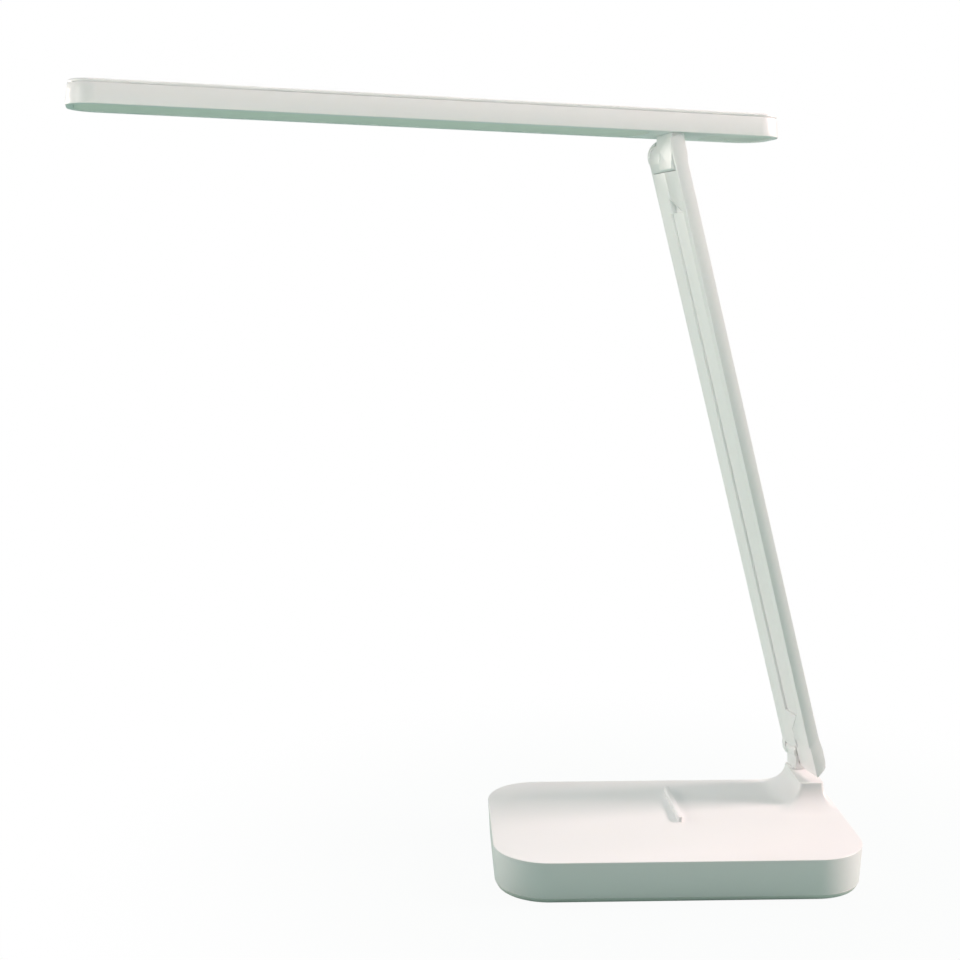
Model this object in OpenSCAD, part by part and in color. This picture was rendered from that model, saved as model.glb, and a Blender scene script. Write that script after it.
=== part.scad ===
// Folding desk lamp: a flat base with a hinge pillar, a flat two-part arm and a long light bar.
// The origin is on the table, under the middle of the base. X runs to the pillar end, Y runs
// away from the front edge and Z runs up. All sizes are in millimetres and degrees.

/* [Base] */
// Width of the base from left to right
base_w = 190; // [170:1:230]
// Depth of the base from front to back
base_d = 119; // [112:1:150]
// Height of the flat top above the table
base_h = 21.7; // [20:0.1:30]
// Radius of the base's corners seen from above
base_corner_r = 28; // [20:1:34]
// How far the side walls lean in towards the table
base_draft = 1; // [0.4:0.1:2]
// Radius of the soft edge round the top
base_edge_r = 0.5; // [0.3:0.1:2]
// Wall thickness of the base casing
base_wall = 2.4; // [1.8:0.1:3]
// Height of the joint between the casing and the bottom cover
cover_joint_h = 2.8; // [2.6:0.1:4]
// Size of the chamfer round the bottom cover
bottom_chamfer = 1.4; // [0.5:0.1:2.5]
// Width of the anti-slip pad
pad_w = 150; // [130:1:160]
// Depth of the anti-slip pad
pad_d = 84; // [76:1:90]
// Thickness of the anti-slip pad
pad_t = 1.2; // [0.8:0.1:1.6]
// How far the pad stands proud of the bottom cover
pad_proud = 0.2; // [0.1:0.1:0.7]

/* [Pillar] */
// Distance from the pillar's middle to the base's right side
pillar_right = 12.6; // [11:0.1:20]
// Distance from the pillar's middle to the base's back
pillar_back = 22.5; // [22:0.5:40]
// Thickness of the pillar from left to right
pillar_w = 13.2; // [12:0.1:16]
// Length of the pillar from front to back
pillar_d = 36.5; // [34:0.5:40]
// Height of the pillar's platform above the table
pillar_h = 33.5; // [31:0.1:36]
// Reach of the hollow flare to the left of the pillar's foot
flare_left = 14; // [6:0.5:16]
// Reach of the hollow flare in front of the pillar's foot
flare_front = 16; // [6:0.5:18]
// Reach of the hollow flare to the right of the pillar's foot
flare_right = 6.5; // [3:0.5:8]

/* [Phone stop] */
// Middle of the phone stop, to the right of the middle of the base
stop_x = 6; // [-10:1:20]
// Middle of the phone stop, behind the middle of the base
stop_y = 18; // [0:1:24]
// Length of the phone stop
stop_l = 49; // [30:1:60]
// Thickness of the phone stop
stop_t = 2.8; // [2:0.1:5]
// Height of the phone stop above the base
stop_h = 2.8; // [1:0.1:3.5]

/* [Swivel] */
// Distance from the pillar's middle to the swivel, to the left
swivel_left = 1.7; // [0:0.1:3]
// Distance from the pillar's middle to the swivel, to the back
swivel_back = 9.7; // [0:0.1:9.8]
// Diameter of the swivel spindle
spindle_d = 6; // [5:0.1:6.4]
// Wall of the bush round the spindle
bush_wall = 0.95; // [0.8:0.05:1.1]
// Running clearance of the pins and the spindle, on the radius
run_gap = 0.05; // [0.02:0.01:0.1]
// Clearance of parts that are fixed to each other, on the radius
fit_gap = 0.01; // [0.01:0.01:0.05]

/* [Arm] */
// Height of the lower hinge axis above the table
hinge_h = 44; // [43:0.1:50]
// Distance between the two hinge axes
arm_len = 338.3; // [250:1:400]
// Width of the arm along its hinge axes
arm_w = 36.7; // [34:0.1:40]
// Thickness of the arm
arm_t = 6.7; // [6:0.1:8]
// Radius of the hinge knuckles
knuckle_r = 4.4; // [4:0.1:5]
// Diameter of the hinge pins
pin_d = 4; // [3:0.1:4.4]
// Reach of the arm's lower ears past their axis
ear_end = 7.6; // [6:0.1:8]
// Reach of the arm's upper cheeks past their axis
cheek_end = 8.6; // [7.5:0.1:8.8]
// Thickness of the upper cheeks
cheek_t = 2.4; // [2:0.1:3]
// Width of the tongue that the lower ears straddle
tongue_w = 10.8; // [9:0.1:12]
// Place of the tongue's middle across the arm
tongue_v = 8.5; // [7.5:0.1:9]
// Thickness of the friction washers
washer_t = 0.4; // [0.3:0.05:0.6]
// Width of the near half's lip along the middle of the arm
lip_w = 5; // [3:0.1:6]
// Width of the joint line between the arm's halves
seam = 0.3; // [0.2:0.05:0.5]
// Depth of the shallow channel along the arm
channel_depth = 1.3; // [0.8:0.1:1.6]
// Width of the flat land beside the channel
land_w = 14; // [10:0.5:18]

/* [Head] */
// Length of the light bar to the left of its hinge
head_left = 299.2; // [230:0.1:330]
// Length of the light bar to the right of its hinge
head_right = 57.4; // [50:0.1:70]
// Width of the light bar
head_w = 40; // [38:0.5:46]
// Thickness of the light bar
head_t = 11.6; // [10:0.1:14]
// Radius of the light bar's corners seen from above
head_corner_r = 14; // [8:1:18]
// Distance from the upper hinge axis to the light bar's underside
head_drop = 10; // [9.8:0.1:14]
// How far the light bar's sides lean in towards its top
head_draft = 1.2; // [0.4:0.1:1.6]
// Thickness of the light bar's top cover at its edge
cover_t = 2; // [1.8:0.1:3]
// Width of the joint line under the light bar's top cover
cover_line = 0.35; // [0.2:0.05:0.5]
// Wall thickness of the light bar
head_wall = 1.8; // [1.4:0.1:2.4]
// Thickness of the light bar's floor
floor_t = 1.8; // [1.5:0.1:2.4]
// Width of the border round the diffuser
diffuser_border = 3.6; // [3:0.1:6]
// Distance between the light-emitting diodes along the bar
led_pitch = 10; // [8:1:20]

/* [Pose] */
// Angle that the arm is swivelled to
swivel_pose = 11.8; // [-45:0.1:45]
// Angle that the arm leans to the left
arm_lean = 15; // [-15:0.1:80]
// Angle that the light bar slopes down to the right
head_tilt = 1.3; // [-20:0.1:70]

/* [Hidden] */
$fn = 64;

// A thickness thin enough to vanish in a hull
skin = 0.02;
// How far a cut runs past the face that it opens
over = 1;
// Corner segments of the large rounded casings
corner_fn = 48;

white = "#f1f2f0";
shade_white = "#e4e7e5";
opal = "#f6f5ee";
steel = "#b9bcbe";
brass = "#c8a951";
copper = "#b9713c";
rubber_grey = "#8b8f90";
board_green = "#2f6b47";
led_yellow = "#e8d67a";
ferrite = "#4a4c50";

pillar_x = base_w / 2 - pillar_right;
pillar_y = base_d / 2 - pillar_back;
swivel_x = pillar_x - swivel_left;
swivel_y = pillar_y + swivel_back;
bottom_z = pad_proud;
seat_r = knuckle_r + 0.35;
pad_r = 14;
pillar_edge_r = 2;
ceiling_z = base_h - base_wall;
flange_gap = 0.3;

// The four screws that close the base stand over the pad, so that it hides them.
screw_d = 3;
screw_head_d = 6;
screw_head_h = 1.8;
screw_inset = 9;
screw_x = pad_w / 2 - screw_inset;
screw_y = pad_d / 2 - screw_inset;
screw_engage = 9;
boss_wall = 2;
boss_r = screw_d / 2 + boss_wall;
bottom_boss_h = 5;

// Ballast plate on the left, electronics on the right
weight_right = 8;
weight_left = -screw_x + screw_head_d / 2 + boss_wall;
weight_d = base_d - 2 * (base_draft + base_wall + 6);
weight_h = 8;
coil_x = -45;
coil_y = 10;
coil_r = 22;
coil_hole_r = 10;
coil_h = 1.3;
shield_h = 1.2;
board_left = 14;
board_right = 54;
board_front = 10;
board_t = 1.6;
board_z = 8;
board_gap = 4;
board_screw_inset = 4;
board_back = base_d / 2 - base_draft - base_wall - board_gap;

// Receptacle for a reversible charging plug
usb_w = 8.9;
usb_h = 3.2;
usb_l = 7.4;
usb_wall = 0.3;
usb_x = 34;
usb_recess = 0.6;
usb_z = board_z + board_t + usb_h / 2;

bush_r = spindle_d / 2 + run_gap + bush_wall;
bush_bottom = 16;
nut_h = 3.4;
nut_r = spindle_d / 2 + 1.4;
nut_room = 0.4;
swivel_washer_h = 0.9;
spindle_bottom = bush_bottom - swivel_washer_h - nut_h - 0.6;
foot_h = 0.9;
wire_d = 2.4;

pin_r = pin_d / 2;
washer_gap = 0.05;
washer_ring = 1.1;
tongue_slot_w = tongue_w + 2 * washer_t + 4 * washer_gap;
near_block_v = tongue_v - tongue_slot_w / 2;
far_ear_v = tongue_v + tongue_slot_w / 2;
bracket_w = arm_w - 2 * cheek_t - 2 * washer_t - 4 * washer_gap;
cheek_v = arm_w / 2 - cheek_t;
block_r = 8.4;
cheek_seat_r = block_r + 0.35;
barrel_v = 1.5;
bracket_neck_v = 7;

// Heights along the arm, from the lower axis and down from the upper axis
jog_start = 15.8;
jog_end = 30.9;
channel_start = 26.5;
top_tab = 21.7;
top_jog = 29.5;
ear_step = 10;
ear_step_depth = 0.7;
groove_w = 0.5;
groove_depth = 0.9;
groove_start = 8;
groove_end = 24;
lip_v = -arm_w / 2 + lip_w;
channel_v = arm_w / 2 - land_w;
pocket_v = channel_v - 2.2;

// The hollow inside the arm that holds the spine and the flat cable
core_t = 1.6;
core_v0 = -arm_w / 2 + 2.6;
core_v1 = arm_w / 2 - 5;
core_u = 0.9;
core_start = 40;
core_stop = 42;
spine_w = 19;
spine_t = 1.5;
cable_w = 5;
cable_t = 1;
arm_screw_d = 2.2;
arm_screw_head_d = 4;
arm_screw_head_h = 1.6;
arm_screw_l = 24;
arm_screw_low = 10;
arm_screw_high = 13.5;

// Light bar, measured up from the upper hinge axis
floor_z = head_drop;
floor_top = head_drop + floor_t;
roof_z = head_drop + head_t;
cover_z = roof_z - cover_t;
cover_roof_t = 1.4;
head_mid = (head_right - head_left) / 2;
head_l = head_left + head_right;
head_inner_top = roof_z - cover_roof_t;
bracket_neck_t = arm_t - 0.1;
bracket_flange_s = 9;
bracket_flange_h = 2;
bracket_screw_d = 2.4;
bracket_screw_head_d = 4.4;
bracket_screw_s = 6.4;
bracket_screw_v = 11;
bracket_screw_h = 1.5;
diffuser_left = -head_left + diffuser_border;
diffuser_right = -bracket_flange_s - 4;
diffuser_w = head_w - 2 * diffuser_border;
diffuser_r = head_corner_r - diffuser_border;
panel_left = 19.8;
panel_right = head_right - diffuser_border;
panel_w = head_w - 2 * diffuser_border;
flange_w = 1.2;
flange_h = 0.8;
panel_sink = 0.3;
opening_gap = 0.15;
led_board_t = 1.2;
led_board_z = cover_z - 2.6;
led_board_w = 24;
led_w = 2.8;
led_l = 3.5;
led_h = 0.7;
led_row = 6;
lens_s = 36;
lens_v = 8.5;
lens_d = 2.4;

// Rounded rectangle round the origin
module rounded(w, d, r) {
    square([w - 2 * r, d], center = true);
    square([w, d - 2 * r], center = true);
    for (x = [-1, 1], y = [-1, 1])
        translate([x * (w / 2 - r), y * (d / 2 - r)])
            circle(r = r);
}

// One thin slice of a casing, drawn in by inset on every side
module slice(w, d, r, inset, z) {
    translate([0, 0, z])
        linear_extrude(skin)
            rounded(w - 2 * inset, d - 2 * inset, r - inset, $fn = corner_fn);
}

// Upright section of a casing: steps lists [inset, height] from the bottom to the top
module section(w, steps) {
    last = len(steps) - 1;
    polygon(concat(
        [for (p = steps) [w / 2 - p[0], p[1]]],
        [for (i = [last : -1 : 0]) [-w / 2 + steps[i][0], steps[i][1]]]
    ));
}

// Casing with true round corners, from the section of its sides
module casing(w, d, r, steps) {
    last = len(steps) - 1;
    translate([-w / 2 + r, 0, 0])
        rotate([90, 0, 90])
            linear_extrude(w - 2 * r)
                section(d, steps);
    translate([0, d / 2 - r, 0])
        rotate([90, 0, 0])
            linear_extrude(d - 2 * r)
                section(w, steps);
    for (quarter = [[1, 1, 0], [-1, 1, 90], [-1, -1, 180], [1, -1, 270]])
        translate([quarter[0] * (w / 2 - r), quarter[1] * (d / 2 - r), 0])
            rotate([0, 0, quarter[2]])
                rotate_extrude(angle = 90)
                    polygon(concat(
                        [[0, steps[0][1]]],
                        [for (p = steps) [r - p[0], p[1]]],
                        [[0, steps[last][1]]]
                    ));
}

// Steps [inset, height] of a round edge of radius r that ends in a top face at height z
function top_round(r, z) = [for (a = [0 : 15 : 90]) [r * (1 - cos(a)), z - r * (1 - sin(a))]];

// Flat shape drawn on the arm's broad face, given thickness through the arm
module through_arm(depth = 3 * arm_t) {
    rotate([90, 0, 90])
        translate([0, 0, -depth / 2])
            linear_extrude(depth)
                children();
}

// Round bar along the hinge axis between two places across the arm
module across(r, v0, v1) {
    translate([0, v0, 0])
        rotate([-90, 0, 0])
            cylinder(r = r, h = v1 - v0);
}

// Turns with the swivel, about the swivel's own axis
module swivel_frame() {
    translate([swivel_x, swivel_y, 0])
        rotate([0, 0, swivel_pose])
            children();
}

// Origin on the lower hinge axis in the middle of the arm, Z along the arm
module arm_frame() {
    swivel_frame()
        translate([0, -tongue_v, hinge_h])
            rotate([0, -arm_lean, 0])
                children();
}

// Origin on the upper hinge axis, X along the light bar
module head_frame() {
    arm_frame()
        translate([0, 0, arm_len])
            rotate([0, arm_lean + head_tilt, 0])
                children();
}

// Places of the screws that close the base
module at_base_screws() {
    for (x = [-screw_x, screw_x], y = [-screw_y, screw_y])
        translate([x, y, 0])
            children();
}

// Places of the screws that hold the control board
module at_board_screws() {
    for (x = [board_left + board_screw_inset, board_right - board_screw_inset],
         y = [board_front + board_screw_inset, board_back - board_screw_inset])
        translate([x, y, 0])
            children();
}

// Casing with drawn-in foot and soft top edge
module base_outer() {
    casing(base_w, base_d, base_corner_r,
           concat([[base_draft, cover_joint_h]], top_round(base_edge_r, base_h)));
}

// Space inside the casing, open at the bottom
module base_cavity() {
    casing(base_w, base_d, base_corner_r, [
        [base_draft + base_wall, cover_joint_h - over], [base_wall, ceiling_z]
    ]);
}

// One slice of the pillar, spread outwards by a share of each side's flare
module pillar_slice(share, z) {
    left = pillar_w / 2 + flare_left * share;
    right = pillar_w / 2 + flare_right * share;
    front = pillar_d / 2 + flare_front * share;
    back = pillar_d / 2 + flare_right * share;
    translate([pillar_x + (right - left) / 2, pillar_y + (back - front) / 2, 0])
        slice(left + right, front + back, pillar_edge_r * (1 + share), 0, z);
}

// Pillar with a hollow flare that runs out into the base's top
module pillar() {
    rise = pillar_h - base_h;
    turns = [0, 14, 30, 48, 68, 90];
    intersection() {
        for (i = [0 : len(turns) - 2])
            hull() {
                pillar_slice(1 - sin(turns[i]), base_h - skin + rise * (1 - cos(turns[i])));
                pillar_slice(1 - sin(turns[i + 1]), base_h - skin + rise * (1 - cos(turns[i + 1])));
            }
        translate([0, 0, base_h - over])
            linear_extrude(pillar_h)
                rounded(base_w - 2 * base_edge_r, base_d - 2 * base_edge_r, base_corner_r - base_edge_r);
    }
}

// Straight rib with round ends that a phone leans against
module phone_stop() {
    reach = (stop_l - stop_t) / 2;
    translate([stop_x, stop_y, base_h - base_wall / 2]) {
        for (side = [-1, 1])
            translate([0, side * reach, 0])
                cylinder(d = stop_t, h = stop_h + base_wall / 2);
        translate([-stop_t / 2, -reach, 0])
            cube([stop_t, 2 * reach, stop_h + base_wall / 2]);
    }
}

module base_shell() {
    color(white)
    difference() {
        union() {
            difference() {
                union() {
                    base_outer();
                    pillar();
                    phone_stop();
                }
                base_cavity();
            }
            at_base_screws()
                translate([0, 0, bottom_boss_h + flange_gap])
                    cylinder(r = boss_r, h = ceiling_z - bottom_boss_h);
            translate([swivel_x, swivel_y, bush_bottom])
                cylinder(r = bush_r + 1.6, h = ceiling_z - bush_bottom + over);
        }
        at_base_screws()
            translate([0, 0, bottom_boss_h - over])
                cylinder(d = screw_d + 2 * fit_gap, h = screw_engage + over + flange_gap);
        translate([swivel_x, swivel_y, bush_bottom - over])
            cylinder(r = bush_r + fit_gap, h = pillar_h);
        translate([swivel_x, swivel_y, spindle_bottom - over])
            cylinder(r = nut_r + nut_room, h = bush_bottom - spindle_bottom + over);
        translate([usb_x, base_d / 2, usb_z])
            rotate([90, 0, 0])
                usb_outline(usb_h / 2 + 0.4, 2 * (base_wall + base_draft + over));
    }
}

// Flat-sided oblong along the plug's direction, centred on its own depth
module usb_outline(r, depth) {
    run = usb_w / 2 - usb_h / 2;
    translate([0, 0, -depth / 2]) {
        for (side = [-1, 1])
            translate([side * run, 0, 0])
                cylinder(r = r, h = depth);
        translate([-run, -r, 0])
            cube([2 * run, 2 * r, depth]);
    }
}

// Bottom cover with its locating lip, screw sleeves and board posts
module base_bottom() {
    lip_inset = base_draft + base_wall + flange_gap;
    lip_t = 1.6;
    lip_h = 3;
    color(shade_white)
    difference() {
        union() {
            casing(base_w, base_d, base_corner_r, [
                [base_draft + bottom_chamfer, bottom_z], [base_draft, cover_joint_h]
            ]);
            difference() {
                translate([0, 0, cover_joint_h - skin])
                    linear_extrude(lip_h)
                        rounded(base_w - 2 * lip_inset, base_d - 2 * lip_inset,
                                base_corner_r - lip_inset);
                translate([0, 0, cover_joint_h])
                    linear_extrude(lip_h)
                        rounded(base_w - 2 * (lip_inset + lip_t), base_d - 2 * (lip_inset + lip_t),
                                base_corner_r - lip_inset - lip_t);
            }
            at_base_screws()
                translate([0, 0, pad_t])
                    cylinder(d = screw_head_d + 2 * boss_wall, h = bottom_boss_h - pad_t);
            at_board_screws()
                translate([0, 0, cover_joint_h - over])
                    cylinder(d = 6, h = board_z - cover_joint_h + over);
        }
        translate([0, 0, bottom_z - over])
            linear_extrude(pad_t - bottom_z + over)
                rounded(pad_w + 2 * fit_gap, pad_d + 2 * fit_gap, pad_r + fit_gap);
        at_base_screws() {
            translate([0, 0, pad_t - over])
                cylinder(d = screw_head_d + 0.4, h = screw_head_h + over + 0.1);
            cylinder(d = screw_d + 0.4, h = 4 * bottom_boss_h);
        }
        at_board_screws()
            translate([0, 0, cover_joint_h])
                cylinder(d = 2 + 2 * fit_gap, h = board_z);
    }
}

module base_pad() {
    color(rubber_grey)
    linear_extrude(pad_t)
        rounded(pad_w, pad_d, pad_r);
}

module base_screws() {
    color(steel)
    at_base_screws()
        difference() {
            union() {
                translate([0, 0, pad_t + 0.1])
                    cylinder(d = screw_head_d, h = screw_head_h);
                translate([0, 0, pad_t + 0.1])
                    cylinder(d = screw_d, h = bottom_boss_h - pad_t + screw_engage - 0.4);
            }
            translate([0, 0, pad_t])
                cylinder(d = 2.4, h = 1.2, $fn = 6);
        }
}

// Steel plate with eased corners that keeps the lamp standing
module counterweight() {
    weight_w = weight_right - weight_left;
    color(steel)
    translate([weight_left + weight_w / 2, 0, cover_joint_h])
        linear_extrude(weight_h)
            rounded(weight_w, weight_d, 6);
}

module charging_coil() {
    color(copper)
    translate([coil_x, coil_y, ceiling_z - coil_h])
        difference() {
            cylinder(r = coil_r, h = coil_h);
            translate([0, 0, -over])
                cylinder(r = coil_hole_r, h = coil_h + 2 * over);
        }
}

module coil_shield() {
    color(ferrite)
    translate([coil_x, coil_y, ceiling_z - coil_h - shield_h])
        cylinder(r = coil_r + 2, h = shield_h);
}

// Board with its main parts soldered on top
module control_board() {
    board_w = board_right - board_left;
    board_d = board_back - board_front;
    parts = [[6, 14, 9, 9, 1.2], [22, 12, 7, 7, 3], [8, 28, 5, 8, 2], [26, 24, 10, 5, 1.2]];
    color(board_green)
    difference() {
        translate([board_left, board_front, board_z]) {
            cube([board_w, board_d, board_t]);
            for (p = parts)
                translate([p[0], p[1], board_t - skin])
                    cube([p[2], p[3], p[4]]);
        }
        at_board_screws()
            cylinder(d = 2.4, h = 2 * board_z);
    }
}

module board_screws() {
    color(steel)
    at_board_screws() {
        translate([0, 0, board_z + board_t])
            cylinder(d = 3.8, h = 1.4);
        translate([0, 0, board_z - 3])
            cylinder(d = 2, h = 3 + board_t + 0.5);
    }
}

module usb_c_socket() {
    mouth_y = base_d / 2 - base_draft - usb_recess;
    color(steel)
    translate([usb_x, mouth_y - usb_l / 2, usb_z])
        rotate([90, 0, 0])
            difference() {
                usb_outline(usb_h / 2, usb_l);
                translate([0, 0, -usb_wall])
                    usb_outline(usb_h / 2 - usb_wall, usb_l);
            }
    color(ferrite)
    translate([usb_x - 3.3, mouth_y - usb_l + usb_wall, usb_z - 0.35])
        cube([6.6, usb_l - 1.6, 0.7]);
}

module swivel_bush() {
    color(opal)
    translate([swivel_x, swivel_y, bush_bottom])
        difference() {
            cylinder(r = bush_r, h = pillar_h - bush_bottom);
            translate([0, 0, -over])
                cylinder(r = spindle_d / 2 + run_gap, h = pillar_h);
        }
}

// Spindle, foot disc and the flat tongue with its round knuckle
module swivel_neck() {
    tongue_t = arm_t - 0.1;
    wire_rise = hinge_h - knuckle_r - wire_d / 2;
    color(white)
    swivel_frame()
        difference() {
            union() {
                translate([0, 0, spindle_bottom])
                    cylinder(d = spindle_d, h = pillar_h - spindle_bottom + foot_h);
                translate([0, 0, pillar_h])
                    cylinder(d = tongue_w - 0.4, h = foot_h);
                translate([-tongue_t / 2, -tongue_w / 2, pillar_h + foot_h / 2])
                    cube([tongue_t, tongue_w, hinge_h - pillar_h - foot_h / 2]);
                translate([0, 0, hinge_h])
                    across(knuckle_r, -tongue_w / 2, tongue_w / 2);
            }
            translate([0, 0, hinge_h])
                across(pin_r + run_gap, -tongue_w, tongue_w);
            translate([0, 0, spindle_bottom - over])
                cylinder(d = wire_d, h = wire_rise - spindle_bottom + over);
            translate([0, 0, wire_rise])
                across(wire_d / 2, -tongue_w, 0);
        }
}

module swivel_washer() {
    color(steel)
    translate([swivel_x, swivel_y, bush_bottom - swivel_washer_h])
        difference() {
            cylinder(r = nut_r, h = swivel_washer_h);
            translate([0, 0, -over])
                cylinder(r = spindle_d / 2 + run_gap, h = swivel_washer_h + 2 * over);
        }
}

// Six-sided nut that keeps the spindle in its bush
module swivel_nut() {
    color(brass)
    swivel_frame()
        translate([0, 0, bush_bottom - swivel_washer_h - nut_h])
            difference() {
                cylinder(r = nut_r, h = nut_h, $fn = 6);
                translate([0, 0, -over])
                    cylinder(r = spindle_d / 2 + fit_gap, h = nut_h + 2 * over);
            }
}

// Side view of the lower ears: a rounded-off foot on the outer side and a slight swelling
module ear_profile(inner) {
    half = arm_t / 2;
    swell = half + 0.75;
    polygon([
        [-inner, -ear_end], [-2, -ear_end], [0, -ear_end + 1.1], [half, -ear_end + 3.6],
        [swell, -ear_end + 7.6], [swell, 7], [half, 14], [-inner, 14]
    ]);
}

// Side view of the upper cheeks: the same swelling on the outer side
module cheek_profile(inner) {
    half = arm_t / 2;
    swell = half + 0.75;
    polygon([
        [-inner, arm_len - 9], [half, arm_len - 6], [swell, arm_len - 1],
        [swell, arm_len + cheek_end], [-inner, arm_len + cheek_end]
    ]);
}

// Side view of the near half, with one round corner at the top
module near_profile() {
    half = arm_t / 2;
    ear_profile(half);
    translate([-half, 0])
        square([arm_t, arm_len]);
    difference() {
        cheek_profile(half);
        translate([1.1, arm_len + 5.6])
            difference() {
                square(arm_t);
                circle(r = 3);
            }
    }
}

// Shallow round bulges of the far half at both hinges
module far_lobes() {
    intersection() {
        translate([5.6, 0.3])
            circle(r = 10);
        ear_profile(arm_t);
    }
    intersection() {
        translate([4.9, arm_len - 0.5])
            circle(r = 8.7);
        cheek_profile(arm_t);
    }
}

// Bar with the given side view, as wide as the arm and more
module along_arm(v0, v1) {
    translate([0, v1, 0])
        rotate([90, 0, 0])
            linear_extrude(v1 - v0)
                children();
}

// Hollow seats that the tongue and the light bar's bracket turn in
module hinge_seats() {
    across(seat_r, near_block_v, far_ear_v);
    translate([0, 0, arm_len])
        across(cheek_seat_r, -cheek_v, cheek_v);
}

// Broad-face outline of the near half: narrow lip in the middle, wide tabs at the ends
module near_outline() {
    polygon([
        [-arm_w / 2, -ear_end - over], [near_block_v, -ear_end - over], [near_block_v, seat_r],
        [0, seat_r], [0, jog_start], [lip_v, jog_end], [lip_v, arm_len - top_jog],
        [0, arm_len - top_tab], [0, arm_len], [-cheek_v, arm_len],
        [-cheek_v, arm_len + cheek_end + over], [-arm_w / 2, arm_len + cheek_end + over]
    ]);
}

// Broad-face outline of the far half, one joint line away from the near half
module far_outline() {
    polygon([
        [arm_w / 2, -ear_end - over], [far_ear_v, -ear_end - over], [far_ear_v, 0],
        [near_block_v, 0], [near_block_v, seat_r + seam], [seam, seat_r + seam],
        [seam, jog_start + seam], [lip_v + seam, jog_end + seam],
        [lip_v + seam, arm_len - top_jog - seam], [seam, arm_len - top_tab - seam], [seam, arm_len],
        [cheek_v, arm_len], [cheek_v, arm_len + cheek_end + over],
        [arm_w / 2, arm_len + cheek_end + over]
    ]);
}

// The flat hollow for the spine and the cable, open across the joint line
module arm_core() {
    translate([core_u - core_t / 2, core_v0, core_start])
        cube([core_t, core_v1 - core_v0, arm_len - core_start - core_stop]);
}

// Shallow channel in the inner face, with a deeper pocket under its upper end
module arm_channel() {
    deep = 1.3;
    face = -arm_t / 2 - over;
    translate([face, lip_v, channel_start])
        cube([over + channel_depth, channel_v - lip_v, arm_len - top_jog - seam - channel_start]);
    translate([face + (over + channel_depth + deep) / 2, 0, 0])
        through_arm(over + channel_depth + deep)
            polygon([
                [lip_v, arm_len - top_jog - seam], [pocket_v, arm_len - top_jog - seam],
                [pocket_v, arm_len - top_tab]
            ]);
}

module at_arm_screws() {
    for (rise = [arm_screw_low, arm_len - arm_screw_high])
        translate([0, 0, rise])
            children();
}

module arm_near_half() {
    face = -arm_t / 2 - over;
    color(white)
    arm_frame()
        difference() {
            intersection() {
                through_arm()
                    near_outline();
                along_arm(-arm_w / 2, arm_w / 2)
                    near_profile();
            }
            hinge_seats();
            arm_core();
            translate([face, -arm_w, -ear_end - over])
                cube([over + ear_step_depth, 2 * arm_w, ear_end + over + ear_step]);
            translate([face, -arm_w / 2 + 0.7, arm_len - groove_end])
                cube([over + groove_depth, groove_w, groove_end - groove_start]);
            across(pin_r + fit_gap, -arm_w / 2 + 2, arm_w);
            translate([0, 0, arm_len])
                across(pin_r + fit_gap, -arm_w / 2 + 1.2, arm_w);
            at_arm_screws()
                across(arm_screw_d / 2 + fit_gap, arm_w / 2 - arm_screw_l, arm_w);
        }
}

module arm_far_half() {
    color(white)
    arm_frame()
        difference() {
            intersection() {
                through_arm()
                    far_outline();
                union() {
                    translate([-arm_t / 2, -arm_w / 2, 0])
                        cube([arm_t, arm_w, arm_len]);
                    along_arm(far_ear_v, arm_w / 2)
                        far_lobes();
                }
            }
            hinge_seats();
            arm_core();
            arm_channel();
            across(pin_r + fit_gap, 0, arm_w);
            translate([0, 0, arm_len])
                across(pin_r + fit_gap, 0, arm_w);
            at_arm_screws() {
                across(arm_screw_d / 2 + 0.1, -arm_w / 2, arm_w);
                across(arm_screw_head_d / 2 + 0.1, arm_w / 2 - arm_screw_head_h - 0.2, arm_w);
            }
        }
}

module arm_spine() {
    color(steel)
    arm_frame()
        translate([core_u - spine_t / 2, core_v1 - spine_w - 0.2, core_start + 1])
            cube([spine_t, spine_w, arm_len - core_start - core_stop - 2]);
}

module arm_cable() {
    color(rubber_grey)
    arm_frame()
        translate([core_u - cable_t / 2, core_v0 + 0.3, core_start + 1])
            cube([cable_t, cable_w, arm_len - core_start - core_stop - 2]);
}

module arm_screws() {
    color(steel)
    arm_frame()
        at_arm_screws() {
            across(arm_screw_d / 2, arm_w / 2 - arm_screw_l + 0.5, arm_w / 2 - 0.2);
            difference() {
                across(arm_screw_head_d / 2, arm_w / 2 - arm_screw_head_h - 0.2, arm_w / 2 - 0.2);
                translate([0, arm_w / 2 - 1, 0])
                    rotate([-90, 0, 0])
                        cylinder(d = 1.8, h = 2, $fn = 6);
            }
        }
}

module lower_hinge_pin() {
    color(steel)
    arm_frame()
        across(pin_r, -arm_w / 2 + 2.2, arm_w / 2 - 0.3);
}

module friction_washer(v) {
    difference() {
        across(pin_r + washer_ring, v, v + washer_t);
        across(pin_r + run_gap, v - over, v + washer_t + over);
    }
}

module lower_washers() {
    color(brass)
    arm_frame() {
        friction_washer(near_block_v + washer_gap);
        friction_washer(far_ear_v - washer_gap - washer_t);
    }
}

module upper_hinge_pin() {
    color(steel)
    arm_frame()
        translate([0, 0, arm_len])
            across(pin_r, -arm_w / 2 + 1.4, arm_w / 2 - 0.3);
}

module upper_washers() {
    color(brass)
    arm_frame()
        translate([0, 0, arm_len]) {
            friction_washer(-cheek_v + washer_gap);
            friction_washer(cheek_v - washer_gap - washer_t);
        }
}

// Places of the screws that clamp the bracket to the light bar's floor
module at_bracket_screws() {
    for (s = [-bracket_screw_s, bracket_screw_s], v = [-bracket_screw_v, bracket_screw_v])
        translate([s, v, 0])
            children();
}

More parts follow.
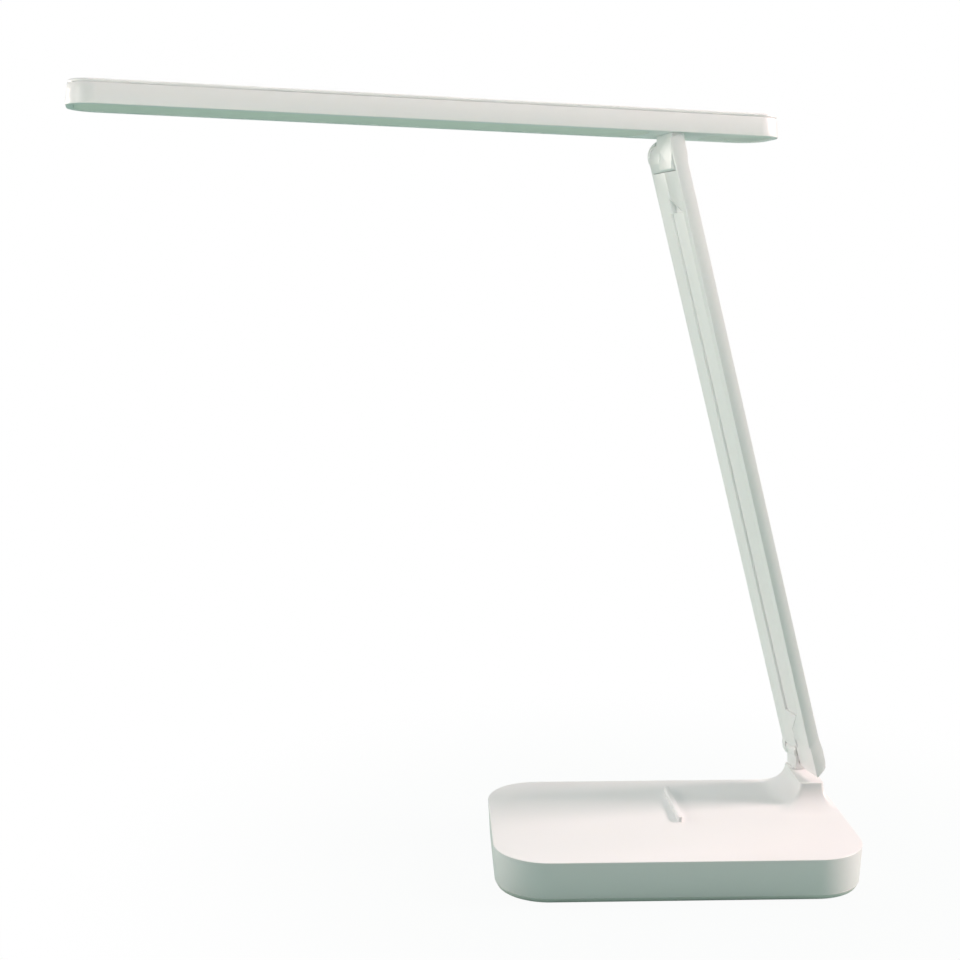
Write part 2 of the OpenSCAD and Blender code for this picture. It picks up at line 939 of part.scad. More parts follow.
// Side view of the bracket's flat part: a slab that ends in an arc about the hinge
module block_profile() {
    intersection() {
        circle(r = block_r);
        translate([-bracket_neck_t / 2, -block_r])
            square([bracket_neck_t, block_r]);
    }
    translate([-bracket_neck_t / 2, -skin])
        square([bracket_neck_t, floor_z]);
}

// Side view of the bracket's round part: the same slab with a full, bulging left side
module barrel_profile() {
    intersection() {
        circle(r = block_r);
        translate([7.8, -1.5])
            circle(r = 11.5);
        translate([-block_r, -block_r])
            square([block_r + bracket_neck_t / 2, block_r + 5.6]);
    }
}

// Hinge block, web and the flange that lies on the light bar's floor
module head_bracket() {
    color(shade_white)
    head_frame()
        difference() {
            union() {
                along_arm(-bracket_w / 2, barrel_v)
                    block_profile();
                along_arm(barrel_v - skin, bracket_w / 2)
                    barrel_profile();
                translate([-bracket_neck_t / 2, -bracket_w / 2, 0])
                    cube([bracket_neck_t, bracket_w / 2 + bracket_neck_v, floor_top + bracket_flange_h]);
                translate([-bracket_flange_s, -bracket_w / 2, floor_top])
                    cube([2 * bracket_flange_s, bracket_w, bracket_flange_h]);
            }
            across(pin_r + run_gap, -arm_w, arm_w);
            at_bracket_screws()
                cylinder(d = bracket_screw_d + 0.4, h = 3 * head_drop);
        }
}

module bracket_screws() {
    color(steel)
    head_frame()
        at_bracket_screws()
            difference() {
                union() {
                    translate([0, 0, floor_top + bracket_flange_h])
                        cylinder(d = bracket_screw_head_d, h = bracket_screw_h);
                    translate([0, 0, floor_z + 0.5])
                        cylinder(d = bracket_screw_d, h = floor_t - 0.5 + bracket_flange_h + 0.5);
                }
                translate([0, 0, floor_top + bracket_flange_h + bracket_screw_h - 0.9])
                    cylinder(d = 1.8, h = 2, $fn = 6);
            }
}

// Casing as long and wide as the light bar
module head_casing(steps) {
    translate([head_mid, 0, 0])
        casing(head_l, head_w, head_corner_r, steps);
}

// Rounded plate between two places along the light bar
module head_plate(s0, s1, w, r, z, h) {
    translate([(s0 + s1) / 2, 0, z])
        linear_extrude(h)
            rounded(s1 - s0, w, r);
}

// Tray of the light bar with its windows for the diffuser, the touch panel and the bracket
module head_body() {
    edge = 0.3;
    slot_gap = 0.2;
    lean = head_draft * (head_t - cover_t) / head_t;
    color(white)
    head_frame()
        difference() {
            head_casing([[edge, floor_z], [0, floor_z + edge], [lean, cover_z]]);
            head_casing([[head_wall + lean * floor_t / head_t, floor_top],
                         [head_wall + lean, cover_z], [head_wall + lean, cover_z + over]]);
            head_plate(diffuser_left, diffuser_right, diffuser_w, diffuser_r, floor_z - over, head_t);
            head_plate(panel_left, panel_right, panel_w, diffuser_r, floor_z - over, head_t);
            translate([-bracket_neck_t / 2 - slot_gap, -bracket_w / 2 - slot_gap, floor_z - over])
                cube([bracket_neck_t + 2 * slot_gap, bracket_w / 2 + bracket_neck_v + 2 * slot_gap, head_t]);
            at_bracket_screws()
                translate([0, 0, floor_z + 0.4])
                    cylinder(d = bracket_screw_d + 2 * fit_gap, h = head_t);
        }
}

// Top cover with its soft edge and the snap skirt that sits inside the tray
module head_cover() {
    edge = 1;
    skirt_gap = 0.15;
    skirt_t = 1.2;
    skirt_h = 1.8;
    rim = head_draft;
    line_depth = 0.5;
    skirt = head_wall + head_draft + skirt_gap;
    color(white)
    head_frame() {
        difference() {
            head_casing(concat(
                [[rim + line_depth, cover_z], [rim + line_depth, cover_z + cover_line],
                 [rim, cover_z + cover_line]],
                [for (p = top_round(edge, roof_z)) [rim + p[0], p[1]]]
            ));
            head_plate(-head_left + skirt, head_right - skirt, head_w - 2 * skirt,
                       head_corner_r - skirt, cover_z - over, head_inner_top - cover_z + over);
        }
        difference() {
            head_plate(-head_left + skirt, head_right - skirt, head_w - 2 * skirt,
                       head_corner_r - skirt, cover_z - skirt_h, head_inner_top - cover_z + skirt_h + skin);
            head_plate(-head_left + skirt + skirt_t, head_right - skirt - skirt_t,
                       head_w - 2 * (skirt + skirt_t), head_corner_r - skirt - skirt_t,
                       cover_z - skirt_h - over, head_t);
        }
    }
}

// Plate that fills a window from inside, with a flange that rests on the floor
module window_plate(s0, s1, w, r) {
    head_plate(s0 + opening_gap, s1 - opening_gap, w - 2 * opening_gap, r - opening_gap,
               floor_z + panel_sink, floor_t - panel_sink + skin);
    head_plate(s0 - flange_w, s1 + flange_w, w + 2 * flange_w, r + flange_w, floor_top, flange_h);
}

module diffuser() {
    color(opal)
    head_frame()
        window_plate(diffuser_left, diffuser_right, diffuser_w, diffuser_r);
}

// Shallow white tray that throws the light down on to the diffuser
module reflector() {
    top = led_board_z - led_h - 0.1;
    wall = 0.6;
    bottom = floor_top + flange_h;
    color(white)
    head_frame()
        difference() {
            head_plate(diffuser_left, diffuser_right, diffuser_w, diffuser_r, bottom, top - bottom);
            head_plate(diffuser_left + wall, diffuser_right - wall, diffuser_w - 2 * wall,
                       diffuser_r - wall, bottom - over, head_t);
        }
}

// Long narrow board under the top cover
module led_board() {
    color(white)
    head_frame() {
        translate([diffuser_left + 6, -led_board_w / 2, led_board_z])
            cube([diffuser_right - diffuser_left - 12, led_board_w, led_board_t]);
        for (s = [diffuser_left + 30 : 60 : diffuser_right - 20])
            translate([s, -2, led_board_z + led_board_t - skin])
                cube([6, 4, head_inner_top - led_board_z - led_board_t + skin]);
    }
}

module led_chips() {
    first = diffuser_left + 12;
    last = diffuser_right - 12;
    color(led_yellow)
    head_frame()
        for (s = [first : led_pitch : last], v = [-led_row, led_row])
            translate([s - led_l / 2, v - led_w / 2, led_board_z - led_h])
                cube([led_l, led_w, led_h]);
}

module touch_panel() {
    color(shade_white)
    head_frame()
        difference() {
            window_plate(panel_left, panel_right, panel_w, diffuser_r);
            translate([lens_s, lens_v, floor_z - over])
                cylinder(d = lens_d + 2 * fit_gap, h = head_t);
        }
}

module touch_board() {
    color(board_green)
    head_frame()
        translate([panel_left + 3, -panel_w / 2 + 3, floor_top + flange_h])
            cube([panel_right - panel_left - 10, panel_w - 6, 1.2]);
}

// Small clear peg that shows the lamp's state
module indicator_lens() {
    color(opal)
    head_frame()
        translate([lens_s, lens_v, floor_z + panel_sink / 2])
            cylinder(d = lens_d, h = floor_t + flange_h - panel_sink / 2);
}

base_shell();
base_bottom();
base_pad();
base_screws();
counterweight();
charging_coil();
coil_shield();
control_board();
board_screws();
usb_c_socket();
swivel_bush();
swivel_neck();
swivel_washer();
swivel_nut();
arm_near_half();
arm_far_half();
arm_spine();
arm_cable();
arm_screws();
lower_hinge_pin();
lower_washers();
upper_hinge_pin();
upper_washers();
head_bracket();
bracket_screws();
head_body();
head_cover();
diffuser();
reflector();
led_board();
led_chips();
touch_panel();
touch_board();
indicator_lens();
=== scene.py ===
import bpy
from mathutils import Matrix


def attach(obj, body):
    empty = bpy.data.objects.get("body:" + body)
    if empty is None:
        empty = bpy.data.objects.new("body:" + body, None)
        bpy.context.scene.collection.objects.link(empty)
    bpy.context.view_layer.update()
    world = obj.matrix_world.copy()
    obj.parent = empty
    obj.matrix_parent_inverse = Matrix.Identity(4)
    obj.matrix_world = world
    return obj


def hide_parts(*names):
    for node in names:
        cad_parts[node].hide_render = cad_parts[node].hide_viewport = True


bl_info = {
    "name": "Folding Desk Lamp",
    "version": (1, 0, 0),
    "blender": (4, 5, 0),
    "location": "View3D > Sidebar > Lamp",
    "description": "Dresses the packed lamp: moulded casings, arm, light bar and a plain studio",
    "category": "Object",
}

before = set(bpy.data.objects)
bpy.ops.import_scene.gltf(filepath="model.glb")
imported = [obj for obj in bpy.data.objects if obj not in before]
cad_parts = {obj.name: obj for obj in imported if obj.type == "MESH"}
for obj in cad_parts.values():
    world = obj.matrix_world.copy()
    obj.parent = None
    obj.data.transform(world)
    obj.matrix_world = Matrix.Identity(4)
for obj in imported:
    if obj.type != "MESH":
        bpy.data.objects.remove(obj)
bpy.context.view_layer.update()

import math

import bmesh
import bpy
from bpy.props import FloatProperty, IntProperty, PointerProperty, StringProperty
from mathutils import Matrix, Vector

MM = 0.001

# Base casing, as in the CAD: outline, corner radius, height of the lower rim, and how far
# the rim and the flat of the top lie inside the outline.
BASE_W, BASE_D, BASE_H = 190 * MM, 119 * MM, 21.7 * MM
BASE_CORNER, RIM_Z = 28 * MM, 2.8 * MM
RIM_INSET, TOP_INSET = 1 * MM, 0.5 * MM

# Hinge pillar: centre and half sizes in plan, top, radius of its upright edges, and how far
# its flare reaches. It starts a root's length below the casing's top, like the phone stop.
PILLAR_AT, PILLAR_HALF = (82.4 * MM, 37 * MM), (6.6 * MM, 18.25 * MM)
PILLAR_TOP, PILLAR_EDGE, PILLAR_ROOT = 33.5 * MM, 2 * MM, 4 * MM
FLARE_LEFT_RIGHT, FLARE_FRONT_BACK = (14 * MM, 6.5 * MM), (16 * MM, 6.5 * MM)

# Phone stop, and the opening of the charging inlet in the back. Cutting blocks stand clear
# of what they cut.
STOP_AT, STOP_W, STOP_L = (6 * MM, 18 * MM), 2.8 * MM, 49 * MM
STOP_H, STOP_ROOT = 2.8 * MM, 2 * MM
INLET_X, INLET_Z, INLET_W, INLET_H = 34 * MM, 11.2 * MM, 9.7 * MM, 4 * MM
INLET_DEPTH, CUTTER_CLEAR = 8 * MM, 6 * MM

# Full round ends stay this much under half the width, so that their bevels don't meet.
ROUND_END_GAP = 0.02 * MM

# Camera solved from the photograph: the photo's width and the focal length in its pixels,
# the place, and the tilt and heading in radians.
PHOTO_W, FOCAL = 960, 1473.4
CAMERA_AT = (-124.45 * MM, -753.16 * MM, 308.59 * MM)
CAMERA_TILT, CAMERA_HEADING = -0.1369, -0.0318

# Floor: half its width, its place just under the pad, and the distances from the lamp's
# middle between which the camera's view of it fades to white.
FLOOR_HALF, FLOOR_Z = 6.0, -0.05 * MM
FADE_FROM, FADE_TO = 0.10, 0.34


def to_linear(code):
    """Turns an sRGB hex colour into the linear colour that a shader takes."""
    def channel(value):
        return value / 12.92 if value <= 0.04045 else ((value + 0.055) / 1.055) ** 2.4
    parts = [int(code[i:i + 2], 16) / 255 for i in (1, 3, 5)]
    return tuple(channel(part) for part in parts) + (1.0,)


class LampSizes(bpy.types.PropertyGroup):
    """Rounded edges and the steps of the flare."""

    edge: FloatProperty(
        name="Moulded edge", description="Radius of the small moulded edges",
        default=0.25 * MM, min=0.1 * MM, max=0.8 * MM, unit="LENGTH")
    casing_edge: FloatProperty(
        name="Casing edge", description="Radius of the base casing's top edge",
        default=0.5 * MM, min=0.2 * MM, max=1.0 * MM, unit="LENGTH")
    flare_rings: IntProperty(
        name="Flare rings", description="Rings that round the pillar's hollow flare",
        default=14, min=6, max=24)


class LampColours(bpy.types.PropertyGroup):
    """Colours of the lamp's finishes, as sRGB hex values."""

    white: StringProperty(
        name="White plastic", description="Colour of the white moulded casings", default="#EFF0F0")
    bottom: StringProperty(
        name="Bottom cover", description="Colour of the cover under the base", default="#E2E5E1")
    rubber: StringProperty(
        name="Rubber", description="Colour of the pad under the base", default="#8E9190")
    opal: StringProperty(
        name="Diffuser", description="Colour of the unlit opal diffuser", default="#F1F1EA")
    touch: StringProperty(
        name="Touch panel", description="Colour of the glossy touch panel", default="#E9EBE7")


def add_node(tree, kind, settings=None, links=None):
    """Adds one shader node, sets its values and links its inputs."""
    node = tree.nodes.new(kind)
    for key, value in (settings or {}).items():
        if isinstance(key, int) or not hasattr(node, key):
            node.inputs[key].default_value = value
        else:
            setattr(node, key, value)
    for key, source in (links or {}).items():
        tree.links.new(source, node.inputs[key])
    return node


def plain_material(name, colour, roughness, metallic=0.0, ior=1.5):
    """Starts a material and returns it with its tree and its Principled shader."""
    material = bpy.data.materials.new(name)
    material.use_nodes = True
    tree = material.node_tree
    shader = tree.nodes["Principled BSDF"]
    shader.inputs["Base Color"].default_value = to_linear(colour)
    shader.inputs["Roughness"].default_value = roughness
    shader.inputs["Metallic"].default_value = metallic
    if not metallic:
        shader.inputs["IOR"].default_value = ior
    return material, tree, shader


def moulded_abs(name, colour, roughness=0.36, grain_mm=0.45, depth=0.02):
    """Injection-moulded ABS: an even white with a fine satin texture that softens its gloss."""
    material, tree, shader = plain_material(name, colour, roughness, ior=1.53)
    place = add_node(tree, "ShaderNodeTexCoord")
    # The scale of a noise is the number of its grains in a metre.
    grain = add_node(tree, "ShaderNodeTexNoise", {"Scale": 1000 / grain_mm, "Detail": 2.0},
                     {"Vector": place.outputs["Object"]})
    # The gloss drifts slowly, over about 60 mm.
    drift = add_node(tree, "ShaderNodeTexNoise", {"Scale": 1000 / 60, "Detail": 1.0},
                     {"Vector": place.outputs["Object"]})
    gloss = add_node(tree, "ShaderNodeMapRange",
                     {"From Min": 0.3, "From Max": 0.7,
                      "To Min": roughness - 0.04, "To Max": roughness + 0.05},
                     {"Value": drift.outputs["Fac"]})
    bump = add_node(tree, "ShaderNodeBump", {"Strength": 0.12, "Distance": depth * MM},
                    {"Height": grain.outputs["Fac"]})
    tree.links.new(gloss.outputs["Result"], shader.inputs["Roughness"])
    tree.links.new(bump.outputs["Normal"], shader.inputs["Normal"])
    shader.inputs["Subsurface Weight"].default_value = 0.08
    shader.inputs["Subsurface Radius"].default_value = (0.6 * MM, 0.5 * MM, 0.4 * MM)
    shader.inputs["Subsurface Scale"].default_value = 1.0
    return material


def zinc_steel(name):
    """Zinc-plated steel: dull silver with fine drawn lines."""
    material, tree, shader = plain_material(name, "#B9BCBE", 0.34, metallic=1.0)
    place = add_node(tree, "ShaderNodeTexCoord")
    lines = add_node(tree, "ShaderNodeTexNoise", {"Scale": 1000 / 0.8, "Detail": 3.0},
                     {"Vector": place.outputs["Object"]})
    gloss = add_node(tree, "ShaderNodeMapRange", {"To Min": 0.28, "To Max": 0.42},
                     {"Value": lines.outputs["Fac"]})
    tree.links.new(gloss.outputs["Result"], shader.inputs["Roughness"])
    return material


def grained(name, colour, roughness, grain_mm, contrast=0.08, metallic=0.0):
    """Plain small part: one colour that varies a little from grain to grain."""
    material, tree, shader = plain_material(name, colour, roughness, metallic)
    place = add_node(tree, "ShaderNodeTexCoord")
    grain = add_node(tree, "ShaderNodeTexNoise", {"Scale": 1000 / grain_mm, "Detail": 3.0},
                     {"Vector": place.outputs["Object"]})
    base = to_linear(colour)
    ramp = add_node(tree, "ShaderNodeValToRGB", None, {"Fac": grain.outputs["Fac"]})
    for stop, position, change in zip(ramp.color_ramp.elements, (0.3, 0.7), (-contrast, contrast)):
        stop.position = position
        stop.color = tuple(min(1, part * (1 + change)) for part in base[:3]) + (1.0,)
    bump = add_node(tree, "ShaderNodeBump", {"Strength": 0.2, "Distance": 0.03 * MM},
                    {"Height": grain.outputs["Fac"]})
    tree.links.new(ramp.outputs["Color"], shader.inputs["Base Color"])
    tree.links.new(bump.outputs["Normal"], shader.inputs["Normal"])
    return material


def shade(obj, angle=30):
    """Smooth shading, creased where two faces meet at more than the given angle in degrees."""
    mesh = obj.data
    mesh.shade_smooth()
    bm = bmesh.new()
    bm.from_mesh(mesh)
    for edge in bm.edges:
        edge.smooth = edge.calc_face_angle(math.pi) < math.radians(angle)
    bm.to_mesh(mesh)
    bm.free()


def add_piece(name, bm, material, body, nodes):
    """Turns a bmesh into a finished piece that stands for CAD nodes and rides on their body."""
    bmesh.ops.recalc_face_normals(bm, faces=bm.faces[:])
    mesh = bpy.data.meshes.new(name)
    bm.to_mesh(mesh)
    bm.free()
    piece = bpy.data.objects.new(name, mesh)
    bpy.context.scene.collection.objects.link(piece)
    mesh.materials.append(material)
    shade(piece)
    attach(piece, body)
    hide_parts(*nodes)


def block(width, depth, radius, low, high, centre=(0.0, 0.0), segments=20):
    """Upright block with rounded vertical edges."""
    bm = bmesh.new()
    place = Matrix.Translation((centre[0], centre[1], (low + high) / 2))
    size = Matrix.Diagonal((width, depth, high - low, 1.0))
    bmesh.ops.create_cube(bm, size=1.0, matrix=place @ size)
    uprights = [edge for edge in bm.edges
                if abs(edge.verts[0].co.z - edge.verts[1].co.z) > (high - low) / 2]
    bmesh.ops.bevel(bm, geom=uprights, offset=radius, offset_type="OFFSET", affect="EDGES",
                    segments=segments, profile=0.5, material=-1)
    return bm


def round_top(bm, width, segments=3):
    """Rounds the edges around the highest face."""
    top = max(bm.faces, key=lambda face: face.calc_center_median().z)
    bmesh.ops.bevel(bm, geom=list(top.edges), offset=width, offset_type="OFFSET", affect="EDGES",
                    segments=segments, profile=0.5, material=-1)


def boolean(bm, tool, operation):
    """Joins or cuts a closed bmesh with another and returns the result."""
    pair = []
    for part in (bm, tool):
        bmesh.ops.recalc_face_normals(part, faces=part.faces[:])
        mesh = bpy.data.meshes.new("blank")
        part.to_mesh(mesh)
        part.free()
        pair.append(bpy.data.objects.new("blank", mesh))
        bpy.context.scene.collection.objects.link(pair[-1])
    step = pair[0].modifiers.new("boolean", "BOOLEAN")
    step.operation = operation
    step.object = pair[1]
    step.solver = "EXACT"
    result = bmesh.new()
    result.from_object(pair[0], bpy.context.evaluated_depsgraph_get())
    for obj in pair:
        mesh = obj.data
        bpy.data.objects.remove(obj)
        bpy.data.meshes.remove(mesh)
    return result


def base_blank(edge):
    """Casing with a drawn-in lower rim and a soft top edge."""
    bm = block(BASE_W, BASE_D, BASE_CORNER, RIM_Z, BASE_H, segments=32)
    rim = [vert for vert in bm.verts if vert.co.z < BASE_H / 2]
    bmesh.ops.scale(bm, verts=rim,
                    vec=(1 - 2 * RIM_INSET / BASE_W, 1 - 2 * RIM_INSET / BASE_D, 1.0))
    round_top(bm, edge)
    return bm


def pillar_blank(edge, rings):
    """Hinge pillar whose foot runs out into the top in a hollow flare."""
    rise = PILLAR_TOP - BASE_H
    bm = block(2 * PILLAR_HALF[0], 2 * PILLAR_HALF[1], PILLAR_EDGE, BASE_H - PILLAR_ROOT,
               PILLAR_TOP, PILLAR_AT, segments=8)
    for ring in range(rings):
        level = BASE_H + rise * (1 - math.cos(math.pi / 2 * ring / rings))
        bmesh.ops.bisect_plane(bm, geom=bm.verts[:] + bm.edges[:] + bm.faces[:],
                               plane_co=(0, 0, level), plane_no=(0, 0, 1))
    # The rings spread along a quarter ellipse, on each side by that side's own reach.
    for vert in bm.verts:
        drop = min(1.0, max(0.0, (PILLAR_TOP - vert.co.z) / rise))
        share = 1 - math.sqrt(1 - drop ** 2)
        for axis, reach in ((0, FLARE_LEFT_RIGHT), (1, FLARE_FRONT_BACK)):
            away = vert.co[axis] - PILLAR_AT[axis]
            vert.co[axis] += away / PILLAR_HALF[axis] * share * reach[away > 0]
    round_top(bm, edge, 2)
    return bm


def eased_copy(node, width, sharp=28, flat=0.6, same_point=0.002 * MM):
    """Copies a CAD solid, joins its flat triangles and rounds its sharp outer edges."""
    bm = bmesh.new()
    bm.from_mesh(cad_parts[node].data)
    bmesh.ops.remove_doubles(bm, verts=bm.verts[:], dist=same_point)
    bmesh.ops.dissolve_limit(bm, angle_limit=math.radians(flat), verts=bm.verts[:],
                             edges=bm.edges[:])
    outer = [edge for edge in bm.edges if len(edge.link_faces) == 2
             and edge.calc_face_angle_signed(0) > math.radians(sharp)]
    bmesh.ops.bevel(bm, geom=outer, offset=width, offset_type="OFFSET", affect="EDGES", segments=2,
                    profile=0.5, material=-1, clamp_overlap=True)
    bmesh.ops.triangulate(bm, faces=[face for face in bm.faces if len(face.verts) > 4])
    return bm


def material_of(node):
    """Finish that a CAD node already wears."""
    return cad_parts[node].data.materials[0]


def dress(node, material):
    """Gives a CAD node's object its finish."""
    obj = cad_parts[node]
    obj.data.materials.clear()
    obj.data.materials.append(material)


class LAMP_OT_cad_finishes(bpy.types.Operator):
    """Give every carried-over solid its finish."""

    bl_idname = "lamp.cad_finishes"
    bl_label = "Finish carried-over parts"

    def execute(self, context):
        colours = context.scene.lamp_colours
        white = moulded_abs("moulded white ABS", colours.white)
        steel = zinc_steel("zinc-plated steel")
        brass = grained("machined brass", "#C8A951", 0.3, 0.8, 0.05, metallic=1.0)
        tinned = grained("tin-plated brass", "#D5D6D2", 0.4, 0.8, 0.05, metallic=1.0)
        board = grained("green solder mask", "#2F6B47", 0.35, 1.5, 0.1)
        finishes = {
            "base_shell": white,
            "base_bottom": moulded_abs("textured bottom ABS", colours.bottom, 0.5, 0.7, 0.05),
            "base_pad": grained("soft grey rubber", colours.rubber, 0.75, 0.9, 0.1),
            "counterweight": grained("raw steel plate", "#8F9294", 0.45, 1.2, 0.1, metallic=1.0),
            "charging_coil": grained("enamelled copper", "#B9713C", 0.35, 0.5, 0.15, metallic=1.0),
            "coil_shield": grained("ferrite sheet", "#3B3D40", 0.6, 1.0, 0.1),
            "swivel_bush": grained("natural acetal", "#EDE8DA", 0.4, 1.0, 0.03),
            "swivel_nut": brass, "lower_washers": tinned, "upper_washers": tinned,
            "swivel_neck": white, "arm_near_half": white, "arm_far_half": white,
            "arm_cable": grained("grey cable jacket", "#8B8F90", 0.5, 0.6, 0.06),
            "head_bracket": white, "head_body": white, "head_cover": white,
            "diffuser": grained("frosted opal acrylic", colours.opal, 0.42, 0.8, 0.01),
            "reflector": grained("white reflector sheet", "#F4F4F0", 0.6, 1.0, 0.02),
            "led_board": grained("white solder mask", "#EDEDE8", 0.4, 1.5, 0.02),
            "led_chips": grained("yellow phosphor", "#E8D67A", 0.3, 0.5, 0.05),
            "touch_panel": grained("glossy touch surface", colours.touch, 0.28, 1.0, 0.01),
            "touch_board": board, "control_board": board,
            "indicator_lens": grained("clear light guide", "#FBFBF8", 0.15, 0.5, 0.01),
        }
        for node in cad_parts:
            dress(node, finishes.get(node, steel))
        return {"FINISHED"}


class LAMP_OT_base(bpy.types.Operator):
    """Build the base casing with its flared pillar, phone stop and inlet, and ease its cover."""

    bl_idname = "lamp.base"
    bl_label = "Base casings"

    def execute(self, context):
        sizes = context.scene.lamp_sizes
        # The flare ends where the flat part of the casing's top does.
        flat = block(BASE_W - 2 * TOP_INSET, BASE_D - 2 * TOP_INSET, BASE_CORNER - TOP_INSET,
                     BASE_H - 2 * PILLAR_ROOT, PILLAR_TOP + CUTTER_CLEAR, segments=32)
        pillar = boolean(pillar_blank(sizes.edge, sizes.flare_rings), flat, "INTERSECT")
        stop = block(STOP_W, STOP_L, STOP_W / 2 - ROUND_END_GAP, BASE_H - STOP_ROOT,
                     BASE_H + STOP_H, STOP_AT, segments=10)
        round_top(stop, sizes.edge, 2)
        inlet = block(INLET_W, INLET_H, INLET_H / 2 - ROUND_END_GAP, 0,
                      INLET_DEPTH + CUTTER_CLEAR, segments=10)
        place = Matrix.Translation((INLET_X, BASE_D / 2 + CUTTER_CLEAR, INLET_Z))
        bmesh.ops.transform(inlet, matrix=place @ Matrix.Rotation(math.pi / 2, 4, "X"),
                            verts=inlet.verts[:])
        casing = boolean(base_blank(sizes.casing_edge), pillar, "UNION")
        casing = boolean(casing, stop, "UNION")
        casing = boolean(casing, inlet, "DIFFERENCE")
        add_piece("base_casing", casing, material_of("base_shell"), "base", ["base_shell"])
        add_piece("base_bottom_moulding", eased_copy("base_bottom", sizes.edge),
                  material_of("base_bottom"), "base", ["base_bottom"])
        return {"FINISHED"}


class LAMP_OT_arm(bpy.types.Operator):
    """Round the moulded edges of the arm's halves, the neck and the bracket."""

    bl_idname = "lamp.arm"
    bl_label = "Arm casings"

    def execute(self, context):
        edge = context.scene.lamp_sizes.edge
        for node, body in (("arm_near_half", "arm"), ("arm_far_half", "arm"),
                           ("swivel_neck", "neck"), ("head_bracket", "head")):
            add_piece(node + "_moulding", eased_copy(node, edge), material_of(node), body, [node])
        return {"FINISHED"}


class LAMP_OT_light_bar(bpy.types.Operator):
    """Round the moulded edges of the light bar's tray, cover, diffuser and touch panel."""

    bl_idname = "lamp.light_bar"
    bl_label = "Light bar casings"

    def execute(self, context):
        edge = context.scene.lamp_sizes.edge
        for node, width, slot in (("head_body", edge, "white_satin"),
                                  ("head_cover", edge, "white_satin"),
                                  ("diffuser", edge / 2, "opal_plastic"),
                                  ("touch_panel", edge / 2, "touch_white")):
            add_piece(node + "_moulding", eased_copy(node, width), material_of(node), "head",
                      [node])
        return {"FINISHED"}


class LAMP_OT_studio(bpy.types.Operator):
    """Set the camera, the lights, the world and the floor."""

    bl_idname = "lamp.studio"
    bl_label = "Studio"

    def execute(self, context):
        scene = context.scene
        scene.view_settings.view_transform = "Standard"
        make_camera(scene)
        make_world(scene)
        make_floor(scene)
        make_lights(scene)
        return {"FINISHED"}


def make_camera(scene):
    """Puts the camera where the photograph was taken from, with the photograph's lens."""
    data = bpy.data.cameras.new("photo_camera")
    data.sensor_width = 36.0
    data.lens = data.sensor_width * FOCAL / PHOTO_W
    data.clip_start = 0.01
    camera = bpy.data.objects.new("photo_camera", data)
    camera.location = CAMERA_AT
    camera.rotation_euler = (math.pi / 2 + CAMERA_TILT, 0.0, CAMERA_HEADING)
    scene.collection.objects.link(camera)
    scene.camera = camera


def make_world(scene):
    """Dim even room light, white only where the camera sees it."""
    world = bpy.data.worlds.new("studio")
    scene.world = world
    world.use_nodes = True
    tree = world.node_tree
    tree.nodes.clear()
    path = add_node(tree, "ShaderNodeLightPath")
    room = add_node(tree, "ShaderNodeBackground", {"Color": to_linear("#DDECE7"), "Strength": 0.31})
    white = add_node(tree, "ShaderNodeBackground", {"Color": (1, 1, 1, 1), "Strength": 1.0})
    mix = add_node(tree, "ShaderNodeMixShader", None, {0: path.outputs["Is Camera Ray"],
                                                       1: room.outputs[0], 2: white.outputs[0]})
    add_node(tree, "ShaderNodeOutputWorld", None, {"Surface": mix.outputs[0]})


def make_floor(scene):
    """Plain pale floor: white to the camera far out, with a soft shadow kept near the lamp."""
    bm = bmesh.new()
    bmesh.ops.create_grid(bm, x_segments=1, y_segments=1, size=FLOOR_HALF,
                          matrix=Matrix.Translation((0, 0, FLOOR_Z)))
    mesh = bpy.data.meshes.new("floor")
    bm.to_mesh(mesh)
    bm.free()
    floor = bpy.data.objects.new("floor", mesh)
    scene.collection.objects.link(floor)
    material, tree, shader = plain_material("matt studio paper", "#95B8AE", 0.9)
    path = add_node(tree, "ShaderNodeLightPath")
    glow = add_node(tree, "ShaderNodeEmission", {"Color": (1, 1, 1, 1), "Strength": 1.0})
    # Far out the camera sees only the white glow; near the lamp a share of the lit paper stays.
    place = add_node(tree, "ShaderNodeTexCoord")
    reach = add_node(tree, "ShaderNodeVectorMath", {"operation": "LENGTH"},
                     {0: place.outputs["Object"]})
    white = add_node(tree, "ShaderNodeMapRange",
                     {"interpolation_type": "SMOOTHSTEP", "From Min": FADE_FROM,
                      "From Max": FADE_TO, "To Min": 0.95, "To Max": 1.0},
                     {"Value": reach.outputs["Value"]})
    share = add_node(tree, "ShaderNodeMath", {"operation": "MULTIPLY"},
                     {0: path.outputs["Is Camera Ray"], 1: white.outputs["Result"]})
    mix = add_node(tree, "ShaderNodeMixShader", None, {0: share.outputs[0], 1: shader.outputs[0],
                                                       2: glow.outputs[0]})
    tree.links.new(mix.outputs[0], tree.nodes["Material Output"].inputs["Surface"])
    mesh.materials.append(material)


def area_light(scene, name, place, target, width, height, power, colour="#FFFFFF", spread=180):
    """Rectangular soft light that points from its place at a target, with a spread in degrees."""
    data = bpy.data.lights.new(name, "AREA")
    data.shape = "RECTANGLE"
    data.size = width
    data.size_y = height
    data.energy = power
    data.spread = math.radians(spread)
    data.color = to_linear(colour)[:3]
    light = bpy.data.objects.new(name, data)
    light.location = place
    aim = Vector(target) - Vector(place)
    light.rotation_euler = aim.to_track_quat("-Z", "Y").to_euler()
    scene.collection.objects.link(light)


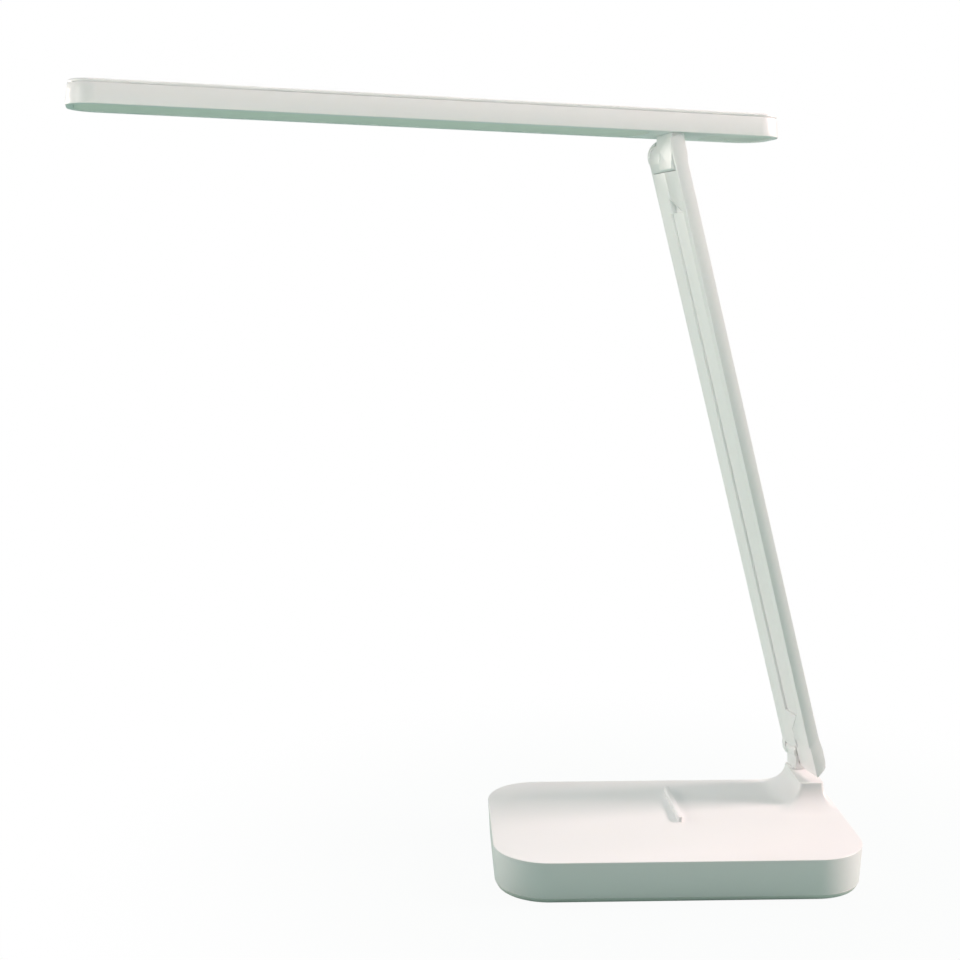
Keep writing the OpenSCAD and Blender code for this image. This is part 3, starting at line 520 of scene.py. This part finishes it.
def make_lights(scene):
    """Key light at the right, soft light from above, behind and left, two narrow front lights."""
    area_light(scene, "key_right", (1.66, 0.04, 0.97), (0.0, 0.0, 0.05), 0.5, 0.5, 36.0, "#FFE4E2")
    area_light(scene, "overhead", (0.0, 0.35, 1.7), (0.0, 0.05, 0.1), 1.8, 1.4, 10.0, "#FFFCFA")
    area_light(scene, "back", (0.0, 1.3, 1.1), (0.0, 0.0, 0.1), 1.2, 0.6, 3.0)
    area_light(scene, "left_back", (-1.3, 0.5, 0.4), (0.0, 0.0, 0.15), 0.8, 0.5, 8.0, "#FFF3EE")
    area_light(scene, "left_front", (-1.25, -0.62, 0.62), (0.05, 0.0, 0.34), 0.4, 0.3, 0.32,
               "#FFF3EE", 44)
    area_light(scene, "low_strip", (-0.1, -1.2, 0.42), (-0.1, 0.0, 0.45), 1.2, 0.2, 0.5,
               "#FFF6F2", 40)


class LAMP_PT_panel(bpy.types.Panel):
    """Lists the steps that dress the lamp."""

    bl_label = "Folding Desk Lamp"
    bl_idname = "LAMP_PT_panel"
    bl_space_type = "VIEW_3D"
    bl_region_type = "UI"
    bl_category = "Lamp"

    def draw(self, context):
        layout = self.layout
        for group in (context.scene.lamp_sizes, context.scene.lamp_colours):
            box = layout.box()
            for key in group.__annotations__:
                box.prop(group, key)
        for step in STEPS:
            layout.operator(step.bl_idname)


STEPS = (LAMP_OT_cad_finishes, LAMP_OT_base, LAMP_OT_arm, LAMP_OT_light_bar, LAMP_OT_studio)
CLASSES = (LampSizes, LampColours) + STEPS + (LAMP_PT_panel,)


def register():
    for item in CLASSES:
        bpy.utils.register_class(item)
    bpy.types.Scene.lamp_sizes = PointerProperty(type=LampSizes)
    bpy.types.Scene.lamp_colours = PointerProperty(type=LampColours)


def unregister():
    del bpy.types.Scene.lamp_colours
    del bpy.types.Scene.lamp_sizes
    for item in reversed(CLASSES):
        bpy.utils.unregister_class(item)


def main():
    register()
    bpy.ops.lamp.cad_finishes()
    bpy.ops.lamp.base()
    bpy.ops.lamp.arm()
    bpy.ops.lamp.light_bar()
    bpy.ops.lamp.studio()


if __name__ == "__main__":
    main()
